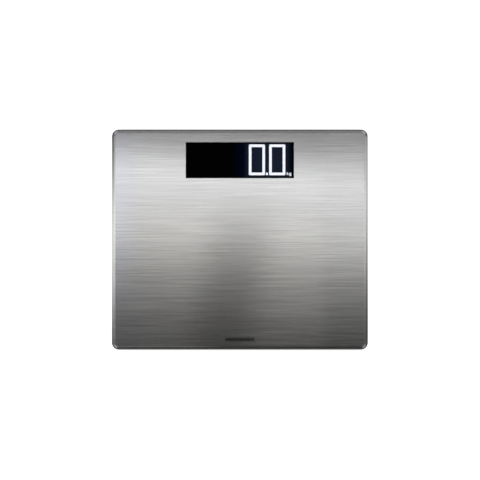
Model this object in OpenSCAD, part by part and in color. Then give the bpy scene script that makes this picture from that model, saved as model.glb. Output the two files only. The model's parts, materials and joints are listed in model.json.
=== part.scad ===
// Digital bathroom scale: a brushed steel tread plate over a two-part plastic
// housing, with a lit display behind a smoked window, four strain-gauge load
// cells, and four feet that each press on one load cell.
// The origin is on the floor under the middle of the platform.
// +X is right, +Y points away from the user to the display end, +Z is up.

/* [Platform] */
// Width of the platform, left to right
plate_w = 350; // [342:1:380]
// Depth of the platform, front to back
plate_d = 301; // [296:1:330]
// Height of the tread surface above the floor
overall_h = 25; // [25:0.5:30]
// Corner radius of the platform in plan
corner_r = 9.6; // [9:0.2:14]
// Thickness of the steel sheet
sheet_t = 0.8; // [0.6:0.1:1]
// Outer radius of the bend where the sheet turns down
bend_r = 5.3; // [4.6:0.1:6]
// Height of the steel skirt below the tread surface
skirt_h = 12; // [11:0.5:12.5]

/* [Display] */
// Width of the display window
window_w = 147.5; // [144:0.5:150]
// Depth of the display window
window_d = 48.9; // [47:0.1:50]
// Distance of the window's middle from the platform's middle
window_y = 108.3; // [104:0.1:110]
// Height of a lit digit
digit_h = 42; // [36:0.2:43]
// Width of a lit digit
digit_w = 22.1; // [18:0.1:24]
// Stroke width of a digit's segments
stroke_w = 3.6; // [3:0.1:5]
// Distance from one digit to the next
digit_pitch = 27.7; // [26:0.1:30]

/* [Feet] */
// Distance of each foot from the middle, left to right
foot_x = 132; // [126:1:136]
// Distance of each foot from the middle, front to back
foot_y = 108; // [104:1:112]
// Radius of a foot
foot_r = 23.5; // [22:0.5:23.5]
// Height of the housing above the floor
ground_gap = 5; // [4.5:0.1:5]
// Travel of a foot against its load cell at full load
foot_travel = 0.5; // [0.3:0.1:0.6]

/* [Battery] */
// Diameter of an AAA cell
cell_dia = 10.5; // [10:0.1:10.5]
// Length of an AAA cell with its button
cell_len = 44.5; // [44:0.1:44.5]
// Distance of the battery box's middle from the platform's middle
tub_y = 22; // [15:1:25]

/* [Hidden] */
$fn = 64;

// Corner name, side in X, side in Y
CORNERS = [
    ["front_left", -1, -1],
    ["front_right", 1, -1],
    ["rear_left", -1, 1],
    ["rear_right", 1, 1]
];
CELLS = [1, 2, 3];

SINGLE_NODES = [
    "tread_plate", "plate_tape", "top_frame",
    "display_window", "window_tape", "lcd_gasket", "lcd_segments", "lcd_panel", "lcd_frame",
    "light_guide", "light_reflector", "backlight_leds", "zebra_strips",
    "display_board", "controller_chip", "board_parts", "lead_sockets", "board_screws",
    "unit_switch", "unit_plunger", "unit_button",
    "base_shell", "housing_screws",
    "battery_springs", "battery_plates", "battery_leads", "battery_door",
    "strain_gauges", "gauge_seals"
];
CORNER_KINDS = ["load_cell_", "cell_clip_", "foot_", "foot_pad_", "foot_rivet_", "sensor_lead_"];

steel = "#b9bbbd";
black_plastic = "#2b2d30";
grey_plastic = "#4a4d50";
smoked = "#08090c";
board_green = "#1f5c3a";
tin = "#c9c9c4";
rubber = "#1c1c1d";
white_plastic = "#eceeee";

// Clearance between two moulded parts that nest
nest_gap = 0.3;
// A cut runs this far past the face that it opens
past = 1;

// Heights above the floor, from the housing's underside up
floor_t = 2.2;
floor_top = ground_gap + floor_t;
rib_t = 1.4;
base_rib_top = floor_top + 3.2;
skirt_z = overall_h - skirt_h;
sheet_z = overall_h - sheet_t;
tape_t = 0.6;
frame_top = sheet_z - tape_t;
frame_panel_t = 2;
frame_under = frame_top - frame_panel_t;

// Housing outlines: each is how far a wall stands in from the platform's edge
base_inset = 1.6;
frame_inset = sheet_t + nest_gap;
frame_wall_t = 1.8;
upstand_inset = frame_inset + frame_wall_t + nest_gap;
upstand_t = 1.6;
base_wall_top = skirt_z - 0.4;
base_edge_r = 3;
upstand_top = frame_under - 1.6;

// Window, glass and light stack, from the tread surface down
lens_gap = 0.15;
lens_flange = 5;
lens_top = overall_h - 0.1;
lens_under = frame_top - 1.2;
glass_gap = 0.4;
glass_t = 1.1;
lcd_w = 146;
lcd_d = 52;
lcd_top = lens_under - glass_gap;
lcd_under = lcd_top - 2 * glass_t;
guide_t = 2.4;
guide_top = lcd_under - 0.2;
guide_under = guide_top - guide_t;
reflector_t = 0.2;
segment_t = 0.15;
segment_gap = 0.12;
well_w = window_w + 2 * lens_flange + 0.9;
well_d = window_d + 2 * lens_flange + 0.9;
well_wall = 1.6;

// Display board
board_t = 1.6;
board_top = guide_under - reflector_t - 0.1;
board_under = board_top - board_t;
board_w = 180;
board_d = 58;
board_hole_x = 86;
board_hole_y = 24;
socket_h = 3.6;

// Screws that close the housing
housing_screw_at = [
    [-160, -60], [160, -60], [-160, 60], [160, 60],
    [-90, -136], [90, -136], [-98, 139], [98, 139],
    [-60, -30], [60, -30]
];
screw_head_r = 3;
screw_head_h = 2.4;
screw_seat = ground_gap + 4;
screw_shank_r = 1.4;
screw_len = 10;
boss_top = 13.2;

// Load cell and the well that holds it
well_r = foot_r + 1.5;
well_ring_t = 2.5;
roof_t = 1.6;
roof_under = boss_top - roof_t;
seat_t = 0.8;
cell_t = 1.5;
cell_top = roof_under - seat_t;
cell_under = cell_top - cell_t;
cell_size = 34;
cell_corner_r = 4;
clip_t = 1;
tongue_w = 11;
gauge_y = 8;

// Feet
pad_r = foot_r - 3.5;
pad_recess = 0.6;
pad_h = 2.6;
foot_under = pad_h - pad_recess;
foot_top = cell_under - clip_t - foot_travel - 0.8;
foot_boss_r = 5.5;
rivet_r = 1.5;

// Battery box and its door
cell_pitch = cell_dia + 0.7;
tub_w = cell_len + 7.5;
tub_d = 3 * cell_pitch + 0.6;
tub_wall = 1.6;
cell_z = ground_gap + 2.5 + cell_dia / 2;
tub_roof = cell_z + cell_dia / 2 + 0.3;
contact_t = 0.4;
spring_wire_r = 0.3;
door_w = tub_w + 10;
door_d = tub_d + 10.8;
door_t = 2;
door_gap = 0.3;
hinge_r = 1;
hinge_y = tub_y + door_d / 2 - hinge_r;
hinge_z = ground_gap + hinge_r;
hinge_pin_len = 2.5;
ledge_t = 1.4;
tongue_half = 8;
slit_w = 0.8;
slit_len = 9;

// Unit button
button_x = 30;
button_y = 95;
button_r = 4.9;
button_travel = 0.5;
button_flange_r = 6.2;
button_top = floor_top + 0.9;
switch_h = 3.5;
plunger_r = 1.75;

// Leads
lead_r = 0.5;
lead_pitch = 1.1;
lead_z = boss_top + 1;
lead_bend_r = 4;
socket_y = window_y - board_d / 2 + 0.4;
// Socket positions for the rear and front corner leads, and the line each lead crosses on
lead_socket_x = [60, 45];
lead_cross_y = [72, 63];
power_socket_x = 30;

// ---------------------------------------------------------------- shared shapes

// A flat outline with rounded corners, centred.
module plan(w, d, r) {
    square([w - 2 * r, d], center = true);
    square([w, d - 2 * r], center = true);
    for (x = [-1, 1], y = [-1, 1])
        translate([x * (w / 2 - r), y * (d / 2 - r)]) circle(r);
}

// A rounded slab from height z0 to z1.
module slab(w, d, r, z0, z1) {
    translate([0, 0, z0]) linear_extrude(z1 - z0) plan(w, d, r);
}

// Cross-section of a slab whose two top edges are rounded by e.
module crowned_section(w, h, e) {
    translate([-w / 2, 0]) square([w, h - e]);
    translate([-w / 2 + e, 0]) square([w - 2 * e, h]);
    for (x = [-1, 1]) translate([x * (w / 2 - e), h - e]) circle(e);
}

// A rounded slab whose top edge is rounded by e all the way round.
module crowned_slab(w, d, r, z0, z1, e) {
    h = z1 - z0;
    translate([0, 0, z0]) {
        rotate([90, 0, 90]) linear_extrude(w - 2 * r, center = true) crowned_section(d, h, e);
        rotate([90, 0, 0]) linear_extrude(d - 2 * r, center = true) crowned_section(w, h, e);
        for (x = [-1, 1], y = [-1, 1])
            translate([x * (w / 2 - r), y * (d / 2 - r), 0])
                rotate_extrude() intersection() {
                    crowned_section(2 * r, h, e);
                    square([r, h]);
                }
    }
}

// The same slab upside down: its bottom edge is rounded by e.
module footed_slab(w, d, r, z0, z1, e) {
    translate([0, 0, z0 + z1]) mirror([0, 0, 1]) crowned_slab(w, d, r, z0, z1, e);
}

// A cylinder from height z0 to z1.
module post(r, z0, z1) {
    translate([0, 0, z0]) cylinder(r = r, h = z1 - z0);
}

// A box centred in plan, from height z0 to z1.
module block(w, d, z0, z1) {
    translate([-w / 2, -d / 2, z0]) cube([w, d, z1 - z0]);
}

// Puts its children at one corner, turned so that local +Y points to the middle.
module at_corner(c) {
    translate([c[1] * foot_x, c[2] * foot_y, 0]) rotate([0, 0, c[2] > 0 ? 180 : 0]) children();
}

module at_corners() {
    for (c = CORNERS) at_corner(c) children();
}

module at_housing_screws() {
    for (p = housing_screw_at) translate([p[0], p[1], 0]) children();
}

module at_window() {
    translate([0, window_y, 0]) children();
}

module at_board_holes() {
    at_window() for (x = [-1, 1], y = [-1, 1])
        translate([x * board_hole_x, y * board_hole_y, 0]) children();
}

// ---------------------------------------------------------------- swept tubes

// Replaces each inner corner of a route by a short curve of radius r.
function rounded(route, r, steps = 4) = concat(
    [route[0]],
    [for (i = [1 : len(route) - 2], k = [0 : steps])
        let (
            p = route[i],
            a = p + r * (route[i - 1] - p) / norm(route[i - 1] - p),
            b = p + r * (route[i + 1] - p) / norm(route[i + 1] - p),
            t = k / steps
        ) (1 - t) * (1 - t) * a + 2 * t * (1 - t) * p + t * t * b],
    [route[len(route) - 1]]
);

function unit(v) = v / norm(v);

function tangent(path, i) = unit(path[min(i + 1, len(path) - 1)] - path[max(i - 1, 0)]);

// Carries the first ring's normal along the path without twist.
function normals(path, n, i = 0) =
    let (t = tangent(path, i), m = unit(n - (n * t) * t))
    i == len(path) - 1 ? [m] : concat([m], normals(path, m, i + 1));

// A round tube of radius r along a path; start is any vector across its first stretch.
module tube(path, r, start, sides = 8) {
    count = len(path);
    across = normals(path, start);
    rings = [for (i = [0 : count - 1], k = [0 : sides - 1])
        let (u = across[i], v = cross(tangent(path, i), u), a = 360 * k / sides)
        path[i] + r * (cos(a) * u + sin(a) * v)];
    walls = [for (i = [0 : count - 2], k = [0 : sides - 1])
        let (n = (k + 1) % sides)
        [i * sides + k, (i + 1) * sides + k, (i + 1) * sides + n, i * sides + n]];
    ends = [
        [for (k = [0 : sides - 1]) k],
        [for (k = [sides - 1 : -1 : 0]) (count - 1) * sides + k]
    ];
    polyhedron(rings, concat(walls, ends), convexity = 6);
}

// ---------------------------------------------------------------- platform

// Drawn steel cover with a rolled edge and the window opening.
module tread_plate() color(steel) difference() {
    crowned_slab(plate_w, plate_d, corner_r, skirt_z, overall_h, bend_r);
    crowned_slab(
        plate_w - 2 * sheet_t, plate_d - 2 * sheet_t, corner_r - sheet_t,
        skirt_z - past, sheet_z, bend_r - sheet_t
    );
    at_window() block(window_w, window_d, sheet_z - past, overall_h + past);
}

// Foam tape strips that bond the steel to the frame.
module plate_tape() color("#d8d4c8") {
    strip_w = plate_w - 40;
    for (y = [-125, -75, -25, 25, 62])
        translate([0, y, 0]) block(strip_w, 16, frame_top, sheet_z);
    for (x = [-1, 1])
        translate([x * (plate_w / 2 - 48), window_y, 0]) block(50, 40, frame_top, sheet_z);
}

// Ribbed upper housing that stiffens the steel.
module top_frame() color(grey_plastic) difference() {
    union() {
        difference() {
            crowned_slab(
                plate_w - 2 * frame_inset, plate_d - 2 * frame_inset, corner_r - frame_inset,
                skirt_z, frame_top, 3.9
            );
            slab(
                plate_w - 2 * (frame_inset + frame_wall_t), plate_d - 2 * (frame_inset + frame_wall_t),
                corner_r - frame_inset - frame_wall_t, skirt_z - past, frame_under
            );
        }
        frame_ribs();
        at_window() slab(
            well_w + 2 * well_wall, well_d + 2 * well_wall, 3, board_top + 0.2, frame_under + past
        );
        at_housing_screws() post(3.6, boss_top + 0.2, frame_under + past);
        at_board_holes() post(3.2, board_top, frame_under + past);
    }
    at_window() slab(well_w, well_d, 1.4, board_top - past, frame_top + past);
    at_housing_screws() post(screw_shank_r + 0.1, boss_top - past, frame_under - 1.2);
    at_board_holes() post(1.1, board_top - past, frame_under - 0.4);
    translate([0, tub_y, 0]) block(door_w + 8, door_d + 8, boss_top, tub_roof + 1.9);
}

// Stiffening ribs under the frame's panel; the display's corner of the frame has none.
module frame_ribs() {
    rib_under = lead_z + lead_r + 0.5;
    long_rib = plate_d - 2 * upstand_inset - 6;
    wide_rib = plate_w - 2 * upstand_inset - 6;
    front_rib_end = window_y - board_d / 2 - 6;
    for (x = [-1, 1], at = [100, 150])
        translate([x * at, 0, 0]) block(rib_t, long_rib, rib_under, frame_under + past);
    for (x = [-50, 0, 50])
        translate([x, (front_rib_end - long_rib / 2) / 2, 0])
            block(rib_t, front_rib_end + long_rib / 2, rib_under, frame_under + past);
    for (y = [-125, -85, -45, -5, 52])
        translate([0, y, 0]) block(wide_rib, rib_t, rib_under, frame_under + past);
}

// ---------------------------------------------------------------- display

// Smoked window: a raised face that fills the opening, and a flange under the steel.
module display_window() color(smoked) at_window() {
    block(window_w - 2 * lens_gap, window_d - 2 * lens_gap, lens_under, lens_top);
    slab(window_w + 2 * lens_flange, window_d + 2 * lens_flange, 1.2, lens_under, frame_top);
}

// Adhesive frame between the window's flange and the steel.
module window_tape() color("#101010") at_window() difference() {
    block(window_w + 8, window_d + 8, frame_top, sheet_z);
    block(window_w + 0.6, window_d + 0.6, frame_top - past, sheet_z + past);
}

// Foam ring that keeps dust out between glass and window.
module lcd_gasket() color("#141414") at_window() difference() {
    block(lcd_w + 2, lcd_d + 2, lcd_top, lens_under);
    block(window_w - 5, window_d - 3, lcd_top - past, lens_under + past);
}

// One bar of a digit between two heights or two sides, with mitred ends.
module flat_segment(length, side) {
    polygon([
        [-length / 2, side * stroke_w / 2],
        [length / 2, side * stroke_w / 2],
        [length / 2 - stroke_w, -side * stroke_w / 2],
        [-length / 2 + stroke_w, -side * stroke_w / 2]
    ]);
}

// Upper right bar of a digit: mitred at the top, square at mid height.
module tall_segment() {
    polygon([
        [digit_w / 2, segment_gap / 2],
        [digit_w / 2, digit_h / 2 - segment_gap],
        [digit_w / 2 - stroke_w, digit_h / 2 - segment_gap - stroke_w],
        [digit_w / 2 - stroke_w, segment_gap / 2]
    ]);
}

// Six lit bars that show a nought, its outer corners eased.
module nought() intersection() {
    plan(digit_w, digit_h, 1.3);
    union() {
        for (side = [-1, 1])
            translate([0, side * (digit_h - stroke_w) / 2]) flat_segment(digit_w - 2 * segment_gap, side);
        for (x = [0, 1], y = [0, 1]) mirror([x, 0]) mirror([0, y]) tall_segment();
    }
}

// Unit mark beside the digits: the letters kg, built from bars and rings.
module unit_mark() {
    stem = 0.85;
    bowl_r = 1.5;
    square([stem, 4]);
    translate([stem - 0.1, 1.3]) rotate([0, 0, 46]) square([1.9, 0.7]);
    translate([stem, 2]) rotate([0, 0, -56]) translate([0, -0.2]) square([2.2, 0.8]);
    translate([4.5, bowl_r]) {
        difference() {
            circle(bowl_r);
            circle(bowl_r - stem);
        }
        translate([bowl_r - stem, -2]) square([stem, 3.4]);
        translate([-1.1, -2.75]) square([bowl_r + 1.1, stem]);
    }
}

// The lit pattern on the glass: two noughts, a decimal point and the unit.
module lcd_segments() color("#ffffff") {
    right_x = 51;
    digit_y = window_y + 0.6;
    baseline = digit_y - digit_h / 2;
    translate([0, 0, lcd_top]) linear_extrude(segment_t) {
        translate([right_x, digit_y]) nought();
        translate([right_x - digit_pitch, digit_y]) nought();
        translate([right_x - digit_pitch / 2 - 0.2, baseline + stroke_w / 2]) plan(3, 3.5, 0.9);
        translate([right_x + digit_w / 2 + 2.1, baseline + 0.2]) unit_mark();
    }
}

// Two glass sheets of the liquid crystal cell; the lower one is deeper, for its contacts.
module lcd_panel() color("#0b0d14") at_window() {
    block(lcd_w, lcd_d - 3, lcd_under + glass_t, lcd_top);
    block(lcd_w, lcd_d, lcd_under, lcd_under + glass_t);
}

// Moulded frame that holds glass and light guide over the board.
module lcd_frame() color(white_plastic) at_window() difference() {
    slab(well_w - 0.6, well_d - 0.6, 1.2, board_top + 0.02, lens_under);
    block(lcd_w + 2.4, lcd_d + 2.4, board_top - past, lens_under + past);
}

// Clear plate that spreads the light under the glass, with a tapered dot pattern left out.
module light_guide() color("#dfe8ee") at_window() block(lcd_w - 2, lcd_d - 7.6, guide_under, guide_top);

// White film under the light guide.
module light_reflector() color("#f6f6f4") at_window()
    block(lcd_w - 2, lcd_d - 7.6, guide_under - reflector_t, guide_under);

// Side-firing LEDs along the light guide's left end.
module backlight_leds() color("#f4e9b0") at_window()
    for (y = [-16 : 8 : 16])
        translate([-(lcd_w / 2 + 0.1), y, 0]) block(1.6, 3.2, board_top, board_top + 1.4);

// Two elastomer strips that join glass contacts to the board.
module zebra_strips() color("#33353a") at_window()
    for (y = [-1, 1])
        translate([0, y * (lcd_d / 2 - 1.2), 0]) block(lcd_w - 14, 2, board_top, lcd_under);

// Printed circuit board behind the display.
module display_board() color(board_green) difference() {
    at_window() slab(board_w, board_d, 2, board_under, board_top);
    at_board_holes() post(1.3, board_under - past, board_top + past);
}

// Measuring and display controller, a flat package with leads on four sides.
module controller_chip() color("#17181a") at_window() translate([-18, 4, 0]) {
    block(10, 10, board_under - 1.6, board_under - 0.2);
    for (turn = [0 : 90 : 270], at = [-4 : 1 : 4])
        rotate([0, 0, turn]) translate([5.6, at, 0]) block(1.4, 0.4, board_under - 0.9, board_under);
}

// Capacitors, resistors, crystal and driver on the underside of the board.
module board_parts() color("#b08a4a") at_window() {
    for (x = [-34, -30, -4, 0, 4, 8], y = [-6, 0, 6])
        translate([x, y + 4, 0]) block(1.6, 0.8, board_under - 0.6, board_under);
    translate([-30, -12, 0]) block(8, 3.4, board_under - 2.2, board_under);
    translate([-52, 6, 0]) post(3, board_under - 3.4, board_under);
    translate([52, 8, 0]) block(5, 4, board_under - 1.5, board_under);
    translate([12, 15, 0]) post(2.5, board_under - 3.2, board_under);
}

// Lead sockets along the front edge of the board: four for the load cells, one for power.
module lead_sockets() color(white_plastic) {
    depth = 5;
    for (x = [-1, 1], at = lead_socket_x)
        translate([x * at, socket_y + depth / 2, 0]) block(8, depth, board_under - socket_h, board_under);
    translate([power_socket_x, socket_y + depth / 2, 0])
        block(6, depth, board_under - socket_h, board_under);
}

// A cross-slot screw standing on its head, with its seat at height z.
module screw(head_r, head_h, shank_r, length, z) {
    difference() {
        post(head_r, z - head_h, z);
        for (turn = [0, 90])
            rotate([0, 0, turn]) block(head_r * 1.1, head_r * 0.28, z - head_h - past, z - head_h * 0.45);
    }
    post(shank_r, z, z + length);
}

// Screws that hold the board and the display frame.
module board_screws() color(tin) at_board_holes() screw(2.4, 1.5, 1.0, 5.6, board_under);

// ---------------------------------------------------------------- unit button

// Push switch on the board; its bore takes the plunger.
module unit_switch() color("#202124") translate([button_x, button_y, 0]) difference() {
    block(6, 6, board_under - switch_h, board_under);
    post(plunger_r + 0.1, board_under - switch_h - past, board_under - 1.2);
}

// Plunger that the button pushes.
module unit_plunger() color("#e8e3d6") translate([button_x, button_y, 0])
    post(plunger_r, button_top, board_under - 1.2 - button_travel - 0.1);

// Button in the underside that changes between kilograms, pounds and stones.
module unit_button() color("#8d9196") translate([button_x, button_y, 0]) {
    difference() {
        post(button_r, ground_gap + 0.3, button_top - 0.8);
        translate([0, 0, ground_gap - 11.2]) sphere(r = 12);
    }
    post(button_flange_r, button_top - 0.8, button_top);
}

// ---------------------------------------------------------------- lower housing

// Floor, outer wall and the upstand that nests in the frame.
module base_tray() difference() {
    union() {
        footed_slab(
            plate_w - 2 * base_inset, plate_d - 2 * base_inset, corner_r - base_inset,
            ground_gap, base_wall_top, base_edge_r
        );
        slab(
            plate_w - 2 * upstand_inset, plate_d - 2 * upstand_inset, corner_r - upstand_inset,
            floor_top, upstand_top
        );
    }
    slab(
        plate_w - 2 * (upstand_inset + upstand_t), plate_d - 2 * (upstand_inset + upstand_t),
        corner_r - upstand_inset - upstand_t, floor_top, upstand_top + past
    );
}

module base_ribs() {
    inner_w = plate_w - 2 * upstand_inset - upstand_t;
    inner_d = plate_d - 2 * upstand_inset - upstand_t;
    for (x = [-100, -50, 0, 50, 100])
        translate([x, 0, 0]) block(rib_t, inner_d, floor_top - past, base_rib_top);
    for (y = [-100, -60, -20, 64])
        translate([0, y, 0]) block(inner_w, rib_t, floor_top - past, base_rib_top);
}

// Ring and roof of one load cell well.
module cell_well() {
    post(well_r + well_ring_t, floor_top - past, boss_top);
}

// What is cut from a well: the foot's opening, the rivet's hole, the lead's slot and stake holes.
module cell_well_cuts() {
    difference() {
        post(well_r, ground_gap - past, roof_under);
        for (y = [-1, 1])
            translate([0, y * (cell_size / 2 - 2), 0]) block(cell_size, 4, cell_top, roof_under + past);
    }
    post(6, cell_top - past, boss_top + past);
    translate([0, gauge_y + 1.5, 0]) block(12, 10, cell_top + seat_t, boss_top + past);
    for (turn = [0, 180]) rotate([0, 0, turn]) translate([21, 0, 0]) post(1.05, roof_under - past, boss_top + past);
}

// Box that holds the cells, open below, with the ledge that the door closes on.
module battery_tub() translate([0, tub_y, 0]) {
    block(door_w + 4, door_d + 4, floor_top - past, floor_top + ledge_t);
    block(tub_w + 2 * tub_wall, tub_d + 2 * tub_wall, floor_top - past, tub_roof + tub_wall);
}

module battery_tub_cuts() {
    translate([0, tub_y, 0]) {
        difference() {
            block(tub_w, tub_d, ground_gap - past, tub_roof);
            for (y = [-1, 1])
                translate([0, y * cell_pitch / 2, 0]) block(tub_w + 2, 1.2, tub_roof - 2, tub_roof + past);
        }
        block(door_w + 2 * door_gap, door_d + 2 * door_gap, ground_gap - past, floor_top);
        translate([0, -door_d / 2 - door_gap, ground_gap - 7.6])
            rotate([0, 90, 0]) cylinder(r = 9, h = 20, center = true);
    }
    for (x = [-1, 1]) {
        translate([x * (door_w / 2 + hinge_pin_len / 2 + 0.4), hinge_y, 0])
            block(hinge_pin_len + 0.8, 2 * hinge_r + 0.4, ground_gap - past, hinge_z);
        translate([x * (door_w / 2 + hinge_pin_len / 2 + 0.4), hinge_y, hinge_z])
            rotate([0, 90, 0]) cylinder(r = hinge_r + 0.2, h = hinge_pin_len + 0.8, center = true);
    }
}

// Lower housing: carries the load cells, the battery box and the unit button.
module base_shell() color(black_plastic) difference() {
    union() {
        base_tray();
        base_ribs();
        battery_tub();
        at_corners() cell_well();
        at_housing_screws() post(5, floor_top - past, boss_top);
        translate([button_x, button_y, 0]) post(button_flange_r + 1.8, floor_top - past, floor_top + 2.6);
    }
    at_corners() cell_well_cuts();
    battery_tub_cuts();
    at_housing_screws() {
        post(screw_head_r + 0.5, ground_gap - past, screw_seat);
        post(screw_shank_r + 0.3, screw_seat - past, boss_top + past);
    }
    translate([button_x, button_y, 0]) {
        post(button_r + 0.3, ground_gap - past, floor_top + past);
        post(button_flange_r + 0.3, floor_top, floor_top + 2.6 + past);
    }
    translate([0, -78, 0]) slab(96, 46, 3, ground_gap - past, ground_gap + 0.3);
}

// Screws that join the two housings from below.
module housing_screws() color(tin)
    at_housing_screws() screw(screw_head_r, screw_head_h, screw_shank_r, screw_len, screw_seat);

// ---------------------------------------------------------------- battery

// Side on which a cell's button points: the middle cell is turned round.
function cell_side(i) = i == 2 ? -1 : 1;

module at_cell(i) {
    translate([0, tub_y + (i - 2) * cell_pitch, cell_z]) mirror([cell_side(i) < 0 ? 1 : 0, 0, 0])
        rotate([0, 90, 0]) children();
}

// One AAA cell along X, its button against the flat contact.
module battery(i) color(i == 2 ? "#5b6e7d" : "#4a5b68") at_cell(i) {
    button_end = tub_w / 2 - contact_t - 0.1;
    can_end = button_end - 1;
    translate([0, 0, button_end - cell_len]) cylinder(r = cell_dia / 2, h = cell_len - 1);
    translate([0, 0, can_end]) cylinder(r = 1.9, h = 1);
}

// Conical coil springs at the cells' flat ends.
module battery_springs() color(tin) {
    turns = 4;
    steps_per_turn = 14;
    wall_end = -(tub_w / 2 - contact_t - spring_wire_r);
    cell_end = tub_w / 2 - contact_t - 0.1 - cell_len - spring_wire_r - 0.05;
    path = [for (k = [0 : turns * steps_per_turn])
        let (t = k / (turns * steps_per_turn), a = 360 * k / steps_per_turn, r = 3.6 - 1.7 * t)
        [r * cos(a), r * sin(a), wall_end + (cell_end - wall_end) * t]];
    for (i = CELLS) at_cell(i) {
        tube(path, spring_wire_r, [1, 0, 0], 6);
        translate([-4.2, -4.2, -tub_w / 2 + 0.02]) cube([8.4, 8.4, contact_t - 0.04]);
    }
}

// Flat plates that meet the cells' buttons.
module battery_plates() color(tin) for (i = CELLS) at_cell(i)
    translate([-4.2, -4.2, tub_w / 2 - contact_t]) cube([8.4, 8.4, contact_t - 0.02]);

// The two leads from the battery box to the power socket.
module battery_leads() {
    tub_end = tub_w / 2 + tub_wall + 0.1;
    red = [
        [tub_end, tub_y + 11, lead_z], [tub_end + 7, tub_y + 11, lead_z],
        [tub_end + 7, 60, lead_z], [power_socket_x + 1, 60, lead_z],
        [power_socket_x + 1, socket_y - 0.1, lead_z]
    ];
    black = [
        [-tub_end, tub_y - 11, lead_z], [-tub_end - 7, tub_y - 11, lead_z],
        [-tub_end - 7, 66, lead_z], [power_socket_x - 1, 66, lead_z],
        [power_socket_x - 1, socket_y - 0.1, lead_z]
    ];
    color("#a02020") tube(rounded(red, 2), lead_r, [0, 0, 1]);
    color("#161616") tube(rounded(black, 2), lead_r, [0, 0, 1]);
}

// Door of the battery box: pivots on two pins at its rear edge and snaps in at the front.
module battery_door() color(black_plastic) {
    front = tub_y - door_d / 2;
    difference() {
        union() {
            translate([-door_w / 2, front, ground_gap]) cube([door_w, hinge_y - front, door_t]);
            translate([0, hinge_y, hinge_z]) rotate([0, 90, 0])
                cylinder(r = hinge_r, h = door_w + 2 * hinge_pin_len, center = true);
        }
        for (x = [-1, 1])
            translate([x * tongue_half, front + slit_len / 2 - past, 0])
                block(slit_w, slit_len + 2 * past, ground_gap - past, ground_gap + door_t + past);
    }
    for (k = [0 : 3])
        translate([0, front + 2 + 1.6 * k, 0]) block(2 * tongue_half - 4, 0.7, ground_gap - 0.3, ground_gap + 0.2);
    for (x = [-1, 1])
        translate([x * 14, tub_y, 0]) block(1.2, tub_d - 4, ground_gap + door_t - 0.2, ground_gap + door_t + 0.3);
}

// ---------------------------------------------------------------- load cells and feet

// Steel load cell: a square frame with a tongue to its middle.
module load_cell() color("#9aa0a3") difference() {
    union() {
        difference() {
            slab(cell_size, cell_size, cell_corner_r, cell_under, cell_top);
            slab(24, 24, 2, cell_under - past, cell_top + past);
        }
        translate([0, 4, 0]) block(tongue_w, 20, cell_under, cell_top);
        post(tongue_w / 2 + 0.4, cell_under, cell_top);
    }
    post(rivet_r + 0.1, cell_under - past, cell_top + past);
    for (x = [-1, 1])
        translate([x * tongue_w / 2, gauge_y, 0]) post(1.6, cell_under - past, cell_top + past);
}

// Foil gauges on the tongues.
module strain_gauges() color("#c98b2b") at_corners()
    translate([0, gauge_y, 0]) block(5, 3.4, cell_top, cell_top + 0.1);

// Silicone over the gauges and the solder joints.
module gauge_seals() color("#f2f2ee") at_corners() translate([0, gauge_y, 0]) difference() {
    crowned_slab(7, 6, 1.5, cell_top, cell_top + 1.1, 0.5);
    block(5, 3.4, cell_top - past, cell_top + 0.1);
}

// Moulded ring that holds the load cell up in its well, staked to the roof.
module cell_clip() color(white_plastic) {
    difference() {
        post(well_r - 0.4, cell_under - clip_t, cell_under);
        slab(27, 27, 3, cell_under - clip_t - past, cell_under + past);
    }
    for (turn = [0, 180]) rotate([0, 0, turn]) translate([21, 0, 0]) {
        post(1.7, cell_under - 0.2, roof_under);
        post(1, roof_under, boss_top - 0.1);
    }
}

// Foot: a dished disc with a boss that bears on the tongue.
module foot() color(grey_plastic) {
    dish_floor = foot_under + pad_recess + 1.4;
    difference() {
        rotate_extrude() union() {
            translate([0, foot_under]) square([foot_r - 1, foot_top - foot_under]);
            translate([0, foot_under + 1]) square([foot_r, foot_top - foot_under - 1]);
            translate([foot_r - 1, foot_under + 1]) circle(1);
        }
        difference() {
            post(foot_r - 2, dish_floor, foot_top + past);
            for (turn = [0 : 60 : 300])
                rotate([0, 0, turn]) translate([foot_r / 2, 0, 0]) block(foot_r, 1.4, 0, foot_top - 0.6);
            post(foot_boss_r, 0, foot_top + 2 * past);
        }
        post(pad_r + 0.2, foot_under - past, foot_under + pad_recess);
        post(rivet_r + 0.05, dish_floor - 1, foot_top + 2 * past);
    }
    difference() {
        post(foot_boss_r - 0.5, foot_top - past, cell_under);
        post(rivet_r + 0.05, foot_top - 2 * past, cell_under + past);
    }
}

// Rubber pad with two grip grooves.
module foot_pad() color(rubber) rotate_extrude() difference() {
    union() {
        square([pad_r - 0.8, pad_h]);
        translate([0, 0.8]) square([pad_r, pad_h - 0.8]);
        translate([pad_r - 0.8, 0.8]) circle(0.8);
    }
    for (r = [9, 14]) translate([r, -past]) square([1.4, past + 0.7]);
}

// Rivet that ties the foot to the tongue.
module foot_rivet() color(tin) {
    post(rivet_r, foot_under + pad_recess + 0.5, cell_top);
    translate([0, 0, cell_top + 0.02]) cylinder(r1 = 3, r2 = 2.2, h = 1);
    post(rivet_r, cell_top, cell_top + 0.5);
}

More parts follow.
